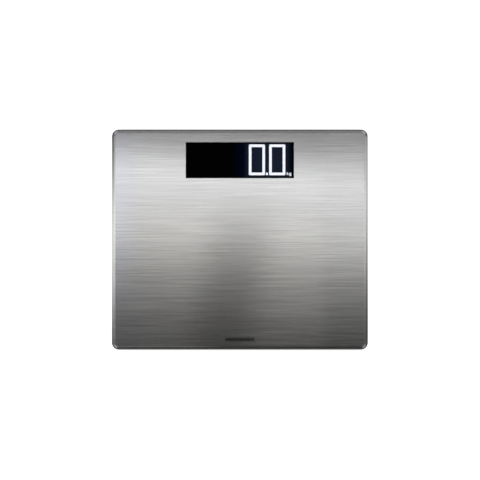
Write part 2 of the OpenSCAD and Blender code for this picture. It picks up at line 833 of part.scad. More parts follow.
// Three-core lead from a load cell to its socket; mirrored on the right.
module sensor_lead(c) color("#8f8f8f") mirror([c[1] > 0 ? 1 : 0, 0, 0]) {
    rear = c[2] > 0;
    side = rear ? 1 : -1;
    socket_x = -lead_socket_x[rear ? 0 : 1];
    cross_y = lead_cross_y[rear ? 0 : 1];
    start_y = side * (foot_y - gauge_y);
    for (k = [-1, 0, 1]) {
        shift = k * lead_pitch;
        route = [
            [-foot_x + shift, start_y, cell_top + 1.15],
            [-foot_x + shift, start_y, lead_z],
            [-foot_x + shift, cross_y + side * shift, lead_z],
            [socket_x - side * shift, cross_y + side * shift, lead_z],
            [socket_x - side * shift, socket_y - 0.1, lead_z]
        ];
        tube(rounded(route, 1.2), lead_r, [1, 0, 0]);
    }
}

// ---------------------------------------------------------------- nodes

tread_plate();
plate_tape();
top_frame();
display_window();
window_tape();
lcd_gasket();
lcd_segments();
lcd_panel();
lcd_frame();
light_guide();
light_reflector();
backlight_leds();
zebra_strips();
display_board();
controller_chip();
board_parts();
lead_sockets();
board_screws();
unit_switch();
unit_plunger();
unit_button();
base_shell();
housing_screws();
battery_springs();
battery_plates();
battery_leads();
battery_door();
strain_gauges();
gauge_seals();
for (i = CELLS) battery(i);
for (c = CORNERS) at_corner(c) load_cell();
for (c = CORNERS) at_corner(c) cell_clip();
for (c = CORNERS) at_corner(c) foot();
for (c = CORNERS) at_corner(c) foot_pad();
for (c = CORNERS) at_corner(c) foot_rivet();
for (c = CORNERS) sensor_lead(c);
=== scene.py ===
"""Digital bathroom scale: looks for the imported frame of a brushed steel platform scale.

The steel tread plate, smoked window, unit button, feet and pads are modelled
here and stand for their CAD nodes. The lower shell and the door are copies of
their CAD meshes. The other nodes stay. All of them get procedural finishes.
"""

import json
import logging
import math
from collections.abc import Callable, Iterator
from contextlib import contextmanager
from dataclasses import dataclass, field
from enum import Enum
from typing import ClassVar

import bmesh
import bpy
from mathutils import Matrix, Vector


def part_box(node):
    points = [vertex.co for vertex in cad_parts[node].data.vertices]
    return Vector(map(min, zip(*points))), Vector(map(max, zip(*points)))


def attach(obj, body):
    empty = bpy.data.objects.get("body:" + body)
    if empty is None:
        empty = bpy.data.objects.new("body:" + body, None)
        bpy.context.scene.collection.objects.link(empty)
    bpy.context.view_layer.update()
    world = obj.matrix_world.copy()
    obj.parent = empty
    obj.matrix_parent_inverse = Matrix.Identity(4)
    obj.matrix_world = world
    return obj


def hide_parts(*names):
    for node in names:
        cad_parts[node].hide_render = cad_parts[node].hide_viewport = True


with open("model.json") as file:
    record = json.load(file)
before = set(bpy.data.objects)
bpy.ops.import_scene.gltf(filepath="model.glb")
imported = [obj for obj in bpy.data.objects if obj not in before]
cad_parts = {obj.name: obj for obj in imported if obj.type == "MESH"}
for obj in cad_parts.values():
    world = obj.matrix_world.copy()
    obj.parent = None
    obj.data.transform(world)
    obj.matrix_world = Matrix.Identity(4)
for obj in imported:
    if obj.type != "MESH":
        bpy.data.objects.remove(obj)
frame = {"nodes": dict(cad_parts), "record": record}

LOG = logging.getLogger("bathroom_scale")
MM = 0.001
Colour = tuple[float, float, float]
Point = tuple[float, float, float]
Pair = tuple[float, float]
Socket = bpy.types.NodeSocket
Thing = bpy.types.Object


class Body(Enum):
    """The rigid bodies that pieces ride on."""

    CHASSIS = "chassis"
    DOOR = "battery_door"
    BUTTON = "unit_button"


class Corner(Enum):
    """The four corners, each with its side in X and in Y."""

    FRONT_LEFT = ("front_left", -1, -1)
    FRONT_RIGHT = ("front_right", 1, -1)
    REAR_LEFT = ("rear_left", -1, 1)
    REAR_RIGHT = ("rear_right", 1, 1)

    @property
    def label(self) -> str:
        """The corner's name, as the CAD nodes end."""
        return self.value[0]


# ------------------------------------------------------------------ finishes


class Graph:
    """A material's node tree while it is being put together."""

    def __init__(self, name: str) -> None:
        """Starts an empty tree with its output.

        Args:
            name: The material's name.
        """
        self.material = bpy.data.materials.new(name)
        self.material.use_nodes = True
        self.tree = self.material.node_tree
        self.tree.nodes.clear()
        self.output = self.tree.nodes.new("ShaderNodeOutputMaterial")
        self.place = self.add("ShaderNodeTexCoord").outputs["Object"]

    def add(self, kind: str, **sockets: object) -> bpy.types.Node:
        """Adds a node and fills its inputs.

        Args:
            kind: The node's Blender type.
            sockets: Input name, with underscores for spaces, to a value or an output socket.

        Returns:
            The new node.
        """
        node = self.tree.nodes.new(kind)
        for name, value in sockets.items():
            self.feed(node.inputs[name.replace("_", " ")], value)
        return node

    def feed(self, target: Socket, value: object) -> None:
        """Links an output to an input, or sets the input's own value.

        Args:
            target: The input socket.
            value: An output socket, a number, a vector or a colour.
        """
        if isinstance(value, bpy.types.NodeSocket):
            self.tree.links.new(value, target)
        elif isinstance(value, tuple) and target.type == "RGBA" and len(value) == 3:
            target.default_value = (*value, 1.0)
        else:
            target.default_value = value

    def scaled(self, scale: Point) -> Socket:
        """The piece's own coordinates, stretched.

        Args:
            scale: Repeats per metre along each axis.

        Returns:
            The mapped vector.
        """
        return self.add("ShaderNodeMapping", Vector=self.place, Scale=scale).outputs[0]

    def noise(
        self, vector: Socket, scale: float = 1.0, detail: float = 3.0, roughness: float = 0.5
    ) -> Socket:
        """A noise value from nought to one."""
        node = self.add("ShaderNodeTexNoise", Vector=vector, Scale=scale, Detail=detail, Roughness=roughness)
        return node.outputs["Fac"]

    def math(self, operation: str, first: object, second: object = 0.0) -> Socket:
        """One sum on two values.

        Args:
            operation: The sum.
            first: The first value.
            second: The second value.

        Returns:
            The result.
        """
        node = self.tree.nodes.new("ShaderNodeMath")
        node.operation = operation
        self.feed(node.inputs[0], first)
        self.feed(node.inputs[1], second)
        return node.outputs[0]

    def span(self, value: Socket, old: Pair, new: Pair, smooth: bool = False) -> Socket:
        """Carries a value from one range to another, held at the ends.

        Args:
            value: What to carry over.
            old: The range it comes from.
            new: The range it goes to.
            smooth: Eases in and out.

        Returns:
            The new value.
        """
        node = self.add(
            "ShaderNodeMapRange", Value=value, From_Min=old[0], From_Max=old[1], To_Min=new[0], To_Max=new[1]
        )
        if smooth:
            node.interpolation_type = "SMOOTHSTEP"
        return node.outputs[0]

    def blend(self, amount: object, first: object, second: object) -> Socket:
        """Mixes two colours.

        Args:
            amount: Share of the second.
            first: The colour at nought.
            second: The colour at one.

        Returns:
            The mixed colour.
        """
        node = self.tree.nodes.new("ShaderNodeMix")
        node.data_type = "RGBA"
        self.feed(node.inputs[0], amount)
        self.feed(node.inputs[6], first)
        self.feed(node.inputs[7], second)
        return node.outputs[2]

    def axis(self, name: str) -> Socket:
        """One of the piece's own coordinates, X, Y or Z, in metres."""
        return self.add("ShaderNodeSeparateXYZ", Vector=self.place).outputs[name]

    def normal(self) -> Socket:
        """The surface's direction."""
        return self.add("ShaderNodeNewGeometry").outputs["Normal"]

    def bump(self, height: Socket, depth: float, strength: float = 1.0) -> Socket:
        """Turns a height into a normal.

        Args:
            height: The height, from nought to one.
            depth: What one stands for, in metres.
            strength: Share of the effect.

        Returns:
            The normal.
        """
        return self.add("ShaderNodeBump", Height=height, Distance=depth, Strength=strength).outputs[0]

    def surface(self, **sockets: object) -> bpy.types.Material:
        """Ends the tree in one principled shader.

        Args:
            sockets: The shader's inputs.

        Returns:
            The finished material.
        """
        shader = self.add("ShaderNodeBsdfPrincipled", **sockets)
        self.tree.links.new(shader.outputs[0], self.output.inputs[0])
        return self.material


@dataclass(frozen=True)
class Moulded:
    """Moulded plastic or rubber with a spark-eroded grain and a faint mottle."""

    name: str
    colour: Colour
    roughness: float = 0.5
    grain: float = 0.45 * MM
    depth: float = 0.02 * MM
    mottle: float = 0.12

    def material(self) -> bpy.types.Material:
        """Builds the finish."""
        g = Graph(self.name)
        grain = g.noise(g.place, 1 / self.grain, 2.0, 0.6)
        cloud = g.noise(g.place, 28.0, 4.0, 0.6)
        dust = g.noise(g.place, 420.0, 2.0, 0.5)
        dark = tuple(c * (1 - self.mottle) for c in self.colour)
        light = tuple(min(1.0, c * (1 + self.mottle)) for c in self.colour)
        tone = g.blend(g.span(cloud, (0.3, 0.7), (0.0, 1.0)), dark, light)
        tone = g.blend(g.span(dust, (0.62, 0.8), (0.0, 0.18)), tone, light)
        rough = g.math("ADD", self.roughness - 0.06, g.math("MULTIPLY", grain, 0.12))
        return g.surface(Base_Color=tone, Roughness=rough, Normal=g.bump(grain, self.depth, 0.6))


@dataclass(frozen=True)
class BrushedSheet:
    """Stainless sheet brushed along X, with a row of printed graduation ticks at the front edge."""

    name: str = "brushed_sheet_steel"
    colour: Colour = (0.70, 0.70, 0.70)
    roughness: float = 0.225
    anisotropy: float = 0.76
    streak_long: float = 85 * MM
    streak_wide: float = 1.15 * MM
    mark_y: float = -136.2 * MM
    mark_half: float = 19.6 * MM
    mark_pitch: float = 2.05 * MM
    tick_share: float = 0.36
    tick_reach: float = 2.2 * MM
    tick_extra: float = 0.5 * MM
    face_above: float = 24.9 * MM
    streak_places: Pair = (0.05, -0.10)
    streak_depths: Pair = (0.95, 1.6)

    def ticks(self, g: Graph) -> Socket:
        """One inside each printed tick, nought elsewhere.

        Args:
            g: The tree that the ticks are drawn in.

        Returns:
            The mask.
        """
        x, y, z = g.axis("X"), g.axis("Y"), g.axis("Z")
        part = g.math("FRACT", g.math("DIVIDE", x, self.mark_pitch))
        across = g.math("ABSOLUTE", g.math("SUBTRACT", part, 0.5))
        fifth = g.math("FRACT", g.math("DIVIDE", g.math("FLOOR", g.math("DIVIDE", x, self.mark_pitch)), 5.0))
        tall = g.math("LESS_THAN", fifth, 0.1)
        reach = g.math("ADD", self.tick_reach, g.math("MULTIPLY", tall, self.tick_extra))
        rise = g.math("ABSOLUTE", g.math("SUBTRACT", y, self.mark_y))
        mask = g.math("LESS_THAN", across, self.tick_share)
        mask = g.math("MULTIPLY", mask, g.math("LESS_THAN", rise, reach))
        mask = g.math("MULTIPLY", mask, g.math("LESS_THAN", g.math("ABSOLUTE", x), self.mark_half))
        return g.math("MULTIPLY", mask, g.math("GREATER_THAN", z, self.face_above))

    def material(self) -> bpy.types.Material:
        """Builds the finish."""
        g = Graph(self.name)
        across = 1 / self.streak_wide
        streak = g.noise(g.scaled((1 / self.streak_long, across, across)), 1.0, 3.0, 0.7)
        hair = g.noise(g.scaled((1 / (0.4 * self.streak_long), 9 * across, 9 * across)), 1.0, 2.0, 0.5)
        haze = g.noise(g.place, 9.0, 3.0, 0.5)
        dark = tuple(c * 0.85 for c in self.colour)
        light = tuple(min(1.0, c * 1.14) for c in self.colour)
        deeper = g.span(g.axis("Y"), self.streak_places, self.streak_depths)
        cut = g.math("MULTIPLY", g.math("SUBTRACT", streak, 0.5), deeper)
        tone = g.blend(g.span(cut, (-0.2, 0.2), (0.0, 1.0)), dark, light)
        tone = g.blend(g.math("MULTIPLY", hair, 0.25), tone, dark)
        ink = self.ticks(g)
        tone = g.blend(ink, tone, (0.012, 0.012, 0.013))
        rough = g.math("ADD", self.roughness - 0.03, g.math("MULTIPLY", streak, 0.04))
        rough = g.math("ADD", rough, g.math("MULTIPLY", haze, 0.02))
        lines = g.bump(g.math("ADD", streak, g.math("MULTIPLY", hair, 0.04)), 0.010 * MM, 1.0)
        cross = g.add("ShaderNodeVectorMath", Vector=g.normal())
        cross.operation = "CROSS_PRODUCT"
        cross.inputs[1].default_value = (1.0, 0.0, 0.0)
        along = g.add("ShaderNodeVectorMath", Vector=cross.outputs[0])
        along.operation = "ADD"
        along.inputs[1].default_value = (0.0, 0.02, 0.0)
        return g.surface(
            Base_Color=tone,
            Metallic=g.math("SUBTRACT", 1.0, ink),
            Roughness=rough,
            Anisotropic=self.anisotropy,
            Tangent=along.outputs[0],
            Normal=lines,
        )


@dataclass(frozen=True)
class PlainMetal:
    """Rolled, plated or drawn metal with fine scratches."""

    name: str
    colour: Colour
    roughness: float = 0.3
    scratch: float = 900.0

    def material(self) -> bpy.types.Material:
        """Builds the finish."""
        g = Graph(self.name)
        lines = g.noise(g.scaled((self.scratch, self.scratch * 0.1, self.scratch)), 1.0, 3.0, 0.6)
        stain = g.noise(g.place, 90.0, 4.0, 0.6)
        dull = tuple(c * 0.8 for c in self.colour)
        tone = g.blend(g.span(stain, (0.4, 0.75), (0.0, 0.6)), self.colour, dull)
        rough = g.math("ADD", self.roughness, g.math("MULTIPLY", lines, 0.12))
        fine = g.bump(lines, 0.004 * MM, 0.4)
        return g.surface(Base_Color=tone, Metallic=1.0, Roughness=rough, Normal=fine)


@dataclass(frozen=True)
class SmokedAcrylic:
    """Dark clear acrylic that shows only what is lit behind it."""

    name: str = "smoked_acrylic"
    tint: Colour = (0.22, 0.22, 0.235)

    def material(self) -> bpy.types.Material:
        """Builds the finish."""
        g = Graph(self.name)
        dust = g.noise(g.place, 900.0, 2.0, 0.5)
        streak = g.noise(g.scaled((30.0, 90.0, 30.0)), 1.0, 3.0, 0.6)
        tone = g.blend(g.span(streak, (0.3, 0.7), (0.0, 0.5)), self.tint, tuple(0.9 * c for c in self.tint))
        rough = g.span(dust, (0.66, 0.8), (0.0, 0.04))
        return g.surface(
            Base_Color=tone, Roughness=rough, IOR=1.49, Transmission_Weight=1.0, Specular_IOR_Level=0.2
        )


@dataclass(frozen=True)
class LitBars:
    """White light from the display's lit bars."""

    name: str = "lit_bars"
    strength: float = 4.8

    def material(self) -> bpy.types.Material:
        """Builds the finish."""
        g = Graph(self.name)
        even = g.noise(g.place, 160.0, 1.0, 0.5)
        glow = g.blend(even, (0.93, 0.96, 1.0), (1.0, 1.0, 1.0))
        return g.surface(
            Base_Color=(0.8, 0.8, 0.8), Roughness=0.4, Emission_Color=glow, Emission_Strength=self.strength
        )


@dataclass(frozen=True)
class DisplayGlass:
    """Black display glass that leaks a little blue light at its lit end."""

    name: str = "display_glass"
    lit_from: float = 5.0 * MM
    lit_to: float = 30.0 * MM
    steep: float = 4.5 * MM
    seeps: Pair = (-19 * MM, 3 * MM)
    fades: Pair = (61 * MM, 71.5 * MM)
    leak: Colour = (0.042, 0.064, 0.122)
    seepage: Colour = (0.0, 0.007, 0.032)

    def material(self) -> bpy.types.Material:
        """Builds the finish."""
        g = Graph(self.name)
        knee = self.lit_from + self.steep
        first = g.span(g.axis("X"), (self.lit_from, knee), (0.0, 0.62), smooth=True)
        rest = g.span(g.axis("X"), (knee, self.lit_to), (0.0, 0.38))
        cloud = g.span(g.noise(g.place, 60.0, 2.0, 0.5), (0.2, 0.8), (0.85, 1.1))
        fade = g.span(g.axis("X"), self.fades, (1.0, 0.08), smooth=True)
        amount = g.math("MULTIPLY", g.math("MULTIPLY", g.math("ADD", first, rest), cloud), fade)
        reach = (self.lit_from + self.seeps[0], self.lit_from + self.seeps[1])
        seep = g.span(g.axis("X"), reach, (0.0, 1.0), smooth=True)
        deep = g.blend(g.math("MULTIPLY", seep, fade), (0.0, 0.0, 0.0), self.seepage)
        glow = g.blend(amount, deep, self.leak)
        return g.surface(
            Base_Color=(0.004, 0.004, 0.005), Roughness=0.25, Emission_Color=glow, Emission_Strength=1.0
        )


@dataclass(frozen=True)
class CircuitBoard:
    """Green lacquer over a grid of copper tracks."""

    name: str = "circuit_board_lacquer"

    def material(self) -> bpy.types.Material:
        """Builds the finish."""
        g = Graph(self.name)
        tracks = g.add("ShaderNodeTexBrick", Vector=g.place, Scale=140.0)
        tracks.inputs["Mortar Size"].default_value = 0.03
        grain = g.noise(g.place, 700.0, 2.0, 0.5)
        tone = g.blend(tracks.outputs["Fac"], (0.016, 0.12, 0.05), (0.03, 0.22, 0.10))
        return g.surface(Base_Color=tone, Roughness=g.span(grain, (0, 1), (0.25, 0.4)),
                         Normal=g.bump(tracks.outputs["Fac"], 0.03 * MM, 0.6))


@dataclass(frozen=True)
class CellSleeve:
    """Printed sleeve of a dry cell: two colour bands and bare metal at each end."""

    name: str
    button_side: int
    band: Colour = (0.62, 0.30, 0.10)
    sleeve: Colour = (0.025, 0.028, 0.032)

    def material(self) -> bpy.types.Material:
        """Builds the finish."""
        g = Graph(self.name)
        x = g.math("MULTIPLY", g.axis("X"), float(self.button_side))
        banded = g.math("GREATER_THAN", x, 9 * MM)
        tone = g.blend(banded, self.sleeve, self.band)
        line = g.math("LESS_THAN", g.math("ABSOLUTE", g.math("SUBTRACT", x, 8.4 * MM)), 0.3 * MM)
        tone = g.blend(line, tone, (0.8, 0.8, 0.8))
        bare = g.math("GREATER_THAN", g.math("ABSOLUTE", g.math("SUBTRACT", x, 2.5 * MM)), 21.2 * MM)
        tone = g.blend(bare, tone, (0.72, 0.72, 0.70))
        scuff = g.noise(g.place, 500.0, 3.0, 0.6)
        return g.surface(Base_Color=tone, Metallic=bare, Roughness=g.span(scuff, (0, 1), (0.18, 0.34)),
                         Normal=g.bump(scuff, 0.004 * MM, 0.4))


@dataclass(frozen=True)
class ClearSheet:
    """Clear moulded plate with a frosted dot grid."""

    name: str = "light_guide_acrylic"

    def material(self) -> bpy.types.Material:
        """Builds the finish."""
        g = Graph(self.name)
        dots = g.add("ShaderNodeTexVoronoi", Vector=g.place, Scale=1200.0)
        rough = g.span(dots.outputs["Distance"], (0.2, 0.35), (0.5, 0.05))
        return g.surface(Base_Color=(0.92, 0.95, 0.97), Roughness=rough, IOR=1.49, Transmission_Weight=0.9)


class Finishes:
    """Every finish by the record's material slot, each built once."""

    def __init__(self) -> None:
        """Builds all finishes."""
        by_name = [
            Moulded("foam_tape", (0.62, 0.59, 0.50), 0.9, 0.6 * MM, 0.10 * MM),
            Moulded("black_foam", (0.012, 0.012, 0.013), 0.9, 0.5 * MM, 0.08 * MM),
            Moulded("frame_plastic", (0.05, 0.053, 0.056), 0.5),
            Moulded("white_plastic", (0.72, 0.73, 0.72), 0.4, 0.4 * MM, 0.01 * MM, 0.04),
            Moulded("led_package", (0.85, 0.70, 0.28), 0.35, 0.3 * MM, 0.01 * MM),
            Moulded("strip_rubber", (0.03, 0.032, 0.035), 0.7),
            Moulded("chip_package", (0.012, 0.012, 0.013), 0.45, 0.2 * MM, 0.01 * MM),
            Moulded("board_parts", (0.26, 0.16, 0.07), 0.35, 0.3 * MM, 0.01 * MM),
            PlainMetal("zinc_steel", (0.66, 0.66, 0.64), 0.3),
            Moulded("switch_plastic", (0.015, 0.015, 0.017), 0.4),
            Moulded("button_plastic", (0.17, 0.18, 0.19), 0.45),
            Moulded("base_plastic", (0.014, 0.0145, 0.0155), 0.46, 0.7 * MM, 0.05 * MM),
            PlainMetal("plated_steel", (0.74, 0.72, 0.68), 0.18),
            Moulded("lead_insulation", (0.30, 0.02, 0.02), 0.5, 0.4 * MM, 0.01 * MM),
            PlainMetal("gauge_foil", (0.72, 0.42, 0.15), 0.35, 1500.0),
            Moulded("silicone", (0.80, 0.80, 0.76), 0.3, 1.5 * MM, 0.15 * MM, 0.05),
            PlainMetal("load_cell_steel", (0.58, 0.58, 0.58), 0.28, 700.0),
            Moulded("foot_plastic", (0.02, 0.021, 0.023), 0.45, 0.6 * MM, 0.03 * MM),
            Moulded("pad_rubber", (0.010, 0.010, 0.011), 0.75, 0.35 * MM, 0.05 * MM, 0.2),
        ]
        finishes = {
            "brushed_sheet": BrushedSheet(),
            "smoked_window": SmokedAcrylic(),
            "lit_segments": LitBars(),
            "lcd_glass": DisplayGlass(),
            "clear_plastic": ClearSheet(),
            "circuit_board": CircuitBoard(),
            **{finish.name: finish for finish in by_name},
        }
        self.by_slot: dict[str, bpy.types.Material] = {
            slot: finish.material() for slot, finish in finishes.items()
        }

    def dress(self, piece: Thing, slot: str) -> None:
        """Gives a piece the finish of a slot.

        Args:
            piece: The piece.
            slot: The record's slot name.
        """
        paint(piece, self.by_slot[slot])


def paint(piece: Thing, material: bpy.types.Material) -> None:
    """Makes a material the only one on a piece."""
    piece.data.materials.clear()
    piece.data.materials.append(material)


# ------------------------------------------------------------------ bench


class Bench:
    """Hand tools for modelling: each starts with nothing else selected."""

    @staticmethod
    def clear() -> None:
        """Leaves edit mode and deselects everything."""
        if bpy.context.object and bpy.context.object.mode != "OBJECT":
            bpy.ops.object.mode_set(mode="OBJECT")
        bpy.ops.object.select_all(action="DESELECT")

    @staticmethod
    def pick(*pieces: Thing) -> None:
        """Selects pieces and makes the first one active.

        Args:
            pieces: What to select.
        """
        Bench.clear()
        for piece in pieces:
            piece.select_set(True)
        bpy.context.view_layer.objects.active = pieces[0]

    @staticmethod
    def settle(name: str) -> Thing:
        """Names the active object and bakes its place into its mesh.

        Args:
            name: The piece's name.

        Returns:
            The piece.
        """
        piece = bpy.context.object
        piece.name = piece.data.name = name
        bpy.ops.object.transform_apply(location=True, rotation=True, scale=True)
        return piece

    @staticmethod
    def block(name: str, low: Vector, high: Vector) -> Thing:
        """Adds a box between two corners.

        Args:
            name: The piece's name.
            low: Its lowest corner.
            high: Its highest corner.

        Returns:
            The box.
        """
        Bench.clear()
        low, high = Vector(low), Vector(high)
        bpy.ops.mesh.primitive_cube_add(size=1, location=(low + high) / 2, scale=high - low)
        return Bench.settle(name)

    @staticmethod
    @contextmanager
    def editing(piece: Thing) -> Iterator[None]:
        """Holds a piece in edit mode with nothing selected.

        Args:
            piece: The piece to edit.
        """
        Bench.pick(piece)
        bpy.ops.object.mode_set(mode="EDIT")
        bpy.ops.mesh.select_mode(type="VERT")
        bpy.ops.mesh.select_all(action="DESELECT")
        yield
        bpy.ops.object.mode_set(mode="OBJECT")

    @staticmethod
    def choose(piece: Thing, kind: str, keep: Callable[[object], bool]) -> None:
        """Selects only the faces or the edges that pass a test.

        Args:
            piece: The piece, in edit mode.
            kind: FACE or EDGE.
            keep: Takes a face or an edge.
        """
        bpy.ops.mesh.select_mode(type=kind)
        bpy.ops.mesh.select_all(action="DESELECT")
        mesh = bmesh.from_edit_mesh(piece.data)
        items = mesh.faces if kind == "FACE" else mesh.edges
        for item in [item for item in items if keep(item)]:
            item.select_set(True)
        bmesh.update_edit_mesh(piece.data)

    @staticmethod
    def faces(piece: Thing, test: Callable[[Vector, Vector], bool]) -> None:
        """Selects only the faces whose middle and normal pass a test."""
        Bench.choose(piece, "FACE", lambda f: test(f.calc_center_median(), f.normal))

    @staticmethod
    def edges(piece: Thing, test: Callable[[Vector, Vector], bool]) -> None:
        """Selects only the edges whose two ends pass a test."""
        Bench.choose(piece, "EDGE", lambda e: test(e.verts[0].co, e.verts[1].co))

    @staticmethod
    def modify(piece: Thing, kind: str, **settings: object) -> None:
        """Adds a modifier and applies it.

        Args:
            piece: The piece.
            kind: The modifier's type.
            settings: Its values.
        """
        Bench.pick(piece)
        modifier = piece.modifiers.new(kind.lower(), kind)
        for name, value in settings.items():
            setattr(modifier, name, value)
        bpy.ops.object.modifier_apply(modifier=modifier.name)

    @staticmethod
    def ease(
        piece: Thing, width: float, angle: float = 50.0, segments: int = 2, shade: float = 35.0
    ) -> None:
        """Rounds every edge sharper than an angle, and shades the piece smooth.

        Args:
            piece: The piece.
            width: The rounding's width in metres.
            angle: The least angle that is rounded, in degrees.
            segments: Facets across the rounding.
            shade: The angle up to which it is shaded smooth, in degrees.
        """
        Bench.modify(
            piece, "BEVEL", width=width, segments=segments, limit_method="ANGLE",
            angle_limit=math.radians(angle), use_clamp_overlap=True, harden_normals=False,
        )
        Bench.smooth(piece, shade)

    @staticmethod
    def smooth(piece: Thing, angle: float = 35.0) -> None:
        """Shades a piece smooth and keeps its large faces flat.

        Args:
            piece: The piece.
            angle: The angle up to which it is shaded smooth, in degrees.
        """
        Bench.pick(piece)
        bpy.ops.object.shade_smooth_by_angle(angle=math.radians(angle))
        Bench.modify(piece, "WEIGHTED_NORMAL", mode="FACE_AREA", weight=50, keep_sharp=True)

    @staticmethod
    def turned(name: str, centre: Pair, profile: list[Pair], sides: int = 72) -> Thing:
        """Raises a round piece ring by ring from a circle, as on a lathe.

        Args:
            name: The piece's name.
            centre: The axis, in X and Y.
            profile: Radius and height of each ring, in metres, from one end to the other.
            sides: Facets round the piece.

        Returns:
            The closed piece.
        """
        Bench.clear()
        radius, height = profile[0]
        bpy.ops.mesh.primitive_circle_add(vertices=sides, radius=radius, location=(*centre, height))
        piece = Bench.settle(name)
        with Bench.editing(piece):
            bpy.ops.mesh.select_all(action="SELECT")
            bpy.ops.mesh.edge_face_add()
            bpy.ops.mesh.select_mode(type="EDGE")
            for new_radius, new_height in profile[1:]:
                bpy.ops.mesh.extrude_edges_move(TRANSFORM_OT_translate={"value": (0, 0, new_height - height)})
                size = new_radius / radius
                bpy.ops.transform.resize(value=(size, size, 1), center_override=(*centre, new_height))
                radius, height = new_radius, new_height
            bpy.ops.mesh.edge_face_add()
            bpy.ops.mesh.select_all(action="SELECT")
            bpy.ops.mesh.normals_make_consistent(inside=False)
        return piece

    @staticmethod
    def refined(node: str, name: str, width: float, angle: float = 50.0) -> Thing:
        """Copies a CAD node's mesh, merges its triangles and eases its edges.

        Args:
            node: The CAD node.
            name: The new piece's name.
            width: The rounding's width in metres, or nought for none.
            angle: The least angle that is rounded, in degrees.

        Returns:
            The new piece.
        """
        piece = frame["nodes"][node].copy()
        piece.data = piece.data.copy()
        piece.parent = None
        for key in list(piece.keys()):
            del piece[key]
        bpy.context.scene.collection.objects.link(piece)
        piece.name = piece.data.name = name
        with Bench.editing(piece):
            bpy.ops.mesh.select_all(action="SELECT")
            bpy.ops.mesh.remove_doubles(threshold=0.002 * MM)
            bpy.ops.mesh.dissolve_limited(angle_limit=math.radians(0.6))
        if width > 0:
            Bench.ease(piece, width, angle)
        else:
            Bench.smooth(piece)
        return piece


def fit(piece: Thing, body: str, slot: str, finishes: Finishes, *nodes: str) -> Thing:
    """Dresses a new piece, lets it ride on a body, and hides the CAD nodes it stands for.

    Args:
        piece: The piece.
        body: The body's name.
        slot: The record's material slot.
        finishes: All finishes.
        nodes: The CAD nodes that it replaces.

    Returns:
        The piece.
    """
    finishes.dress(piece, slot)
    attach(piece, body)
    if nodes:
        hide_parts(*nodes)
    LOG.info("%s rides on %s, %d faces", piece.name, body, len(piece.data.polygons))
    return piece


# ------------------------------------------------------------------ platform


@dataclass
class Platform:
    """The drawn steel cover that people stand on."""

    finishes: Finishes
    corner_radius: float = 9.6 * MM
    rim: float = 5.3 * MM
    rim_slope: float = 12.0
    sheet: float = 0.8 * MM
    window_size: Pair = (147.5 * MM, 48.9 * MM)
    window_y: float = 108.3 * MM
    edge_ease: float = 0.18 * MM

    def on_edge(self, point: Vector, high: Vector) -> bool:
        """Tells whether a point lies on the cover's outline seen from above.

        Args:
            point: The point to test.
            high: The cover's highest corner.

        Returns:
            True within a tenth of a millimetre of the outline.
        """
        over_x = max(0.0, abs(point.x) - (high.x - self.corner_radius))
        over_y = max(0.0, abs(point.y) - (high.y - self.corner_radius))
        return math.hypot(over_x, over_y) > self.corner_radius - 0.1 * MM

    def build(self) -> Thing:
        """Models the cover: a box with rounded corners and a rolled rim, opened below and at the window."""
        low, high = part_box("tread_plate")
        piece = Bench.block("tread_sheet", low, high)
        half_w, half_d = self.window_size[0] / 2, self.window_size[1] / 2
        with Bench.editing(piece):
            Bench.edges(piece, lambda a, b: abs(a.z - b.z) > MM)
            bpy.ops.mesh.bevel(offset=self.corner_radius, segments=12, affect="EDGES")
            Bench.faces(piece, lambda c, n: n.z > 0.9)
            bpy.ops.mesh.inset(thickness=self.rim, use_even_offset=True)
            top = high.z - 0.01 * MM
            Bench.edges(
                piece, lambda a, b: all(p.z > top and self.on_edge(p, high) for p in (a, b))
            )
            bpy.ops.transform.translate(value=(0.0, 0.0, -self.rim * math.tan(math.radians(self.rim_slope))))
            bpy.ops.mesh.bevel(offset=0.99 * self.rim, segments=10, affect="EDGES")
            Bench.faces(piece, lambda c, n: n.z < -0.9)
            bpy.ops.mesh.delete(type="FACE")
            for side in (-1, 1):
                for point, normal in (
                    ((side * half_w, 0, 0), (1, 0, 0)),
                    ((0, self.window_y + side * half_d, 0), (0, 1, 0)),
                ):
                    Bench.faces(piece, lambda c, n: n.z > 0.999)
                    bpy.ops.mesh.bisect(plane_co=point, plane_no=normal)
            Bench.faces(
                piece,
                lambda c, n: n.z > 0.999 and abs(c.x) < half_w and abs(c.y - self.window_y) < half_d,
            )
            bpy.ops.mesh.delete(type="FACE")
        Bench.modify(piece, "SOLIDIFY", thickness=self.sheet, offset=-1.0, use_even_offset=True)
        Bench.ease(piece, self.edge_ease, 60.0, shade=self.rim_slope - 2.0)
        return fit(piece, Body.CHASSIS.value, "brushed_sheet", self.finishes, "tread_plate")


@dataclass
class Display:
    """The smoked window; the lit bars and the glass behind it stay as CAD nodes."""

    finishes: Finishes
    flange: float = 5.15 * MM
    edge_ease: float = 0.25 * MM

    def build(self) -> Thing:
        """Models the window: a flange with a raised face that fills the steel's opening."""
        low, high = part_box("display_window")
        shoulder = low.z + 1.2 * MM
        piece = Bench.block("window_pane", low, Vector((high.x, high.y, shoulder)))
        with Bench.editing(piece):
            Bench.faces(piece, lambda c, n: n.z > 0.9)
            bpy.ops.mesh.inset(thickness=self.flange)
            bpy.ops.mesh.extrude_region_move(TRANSFORM_OT_translate={"value": (0, 0, high.z - shoulder)})
        Bench.ease(piece, self.edge_ease, 60.0, 3)
        return fit(piece, Body.CHASSIS.value, "smoked_window", self.finishes, "display_window")


# ------------------------------------------------------------------ underside


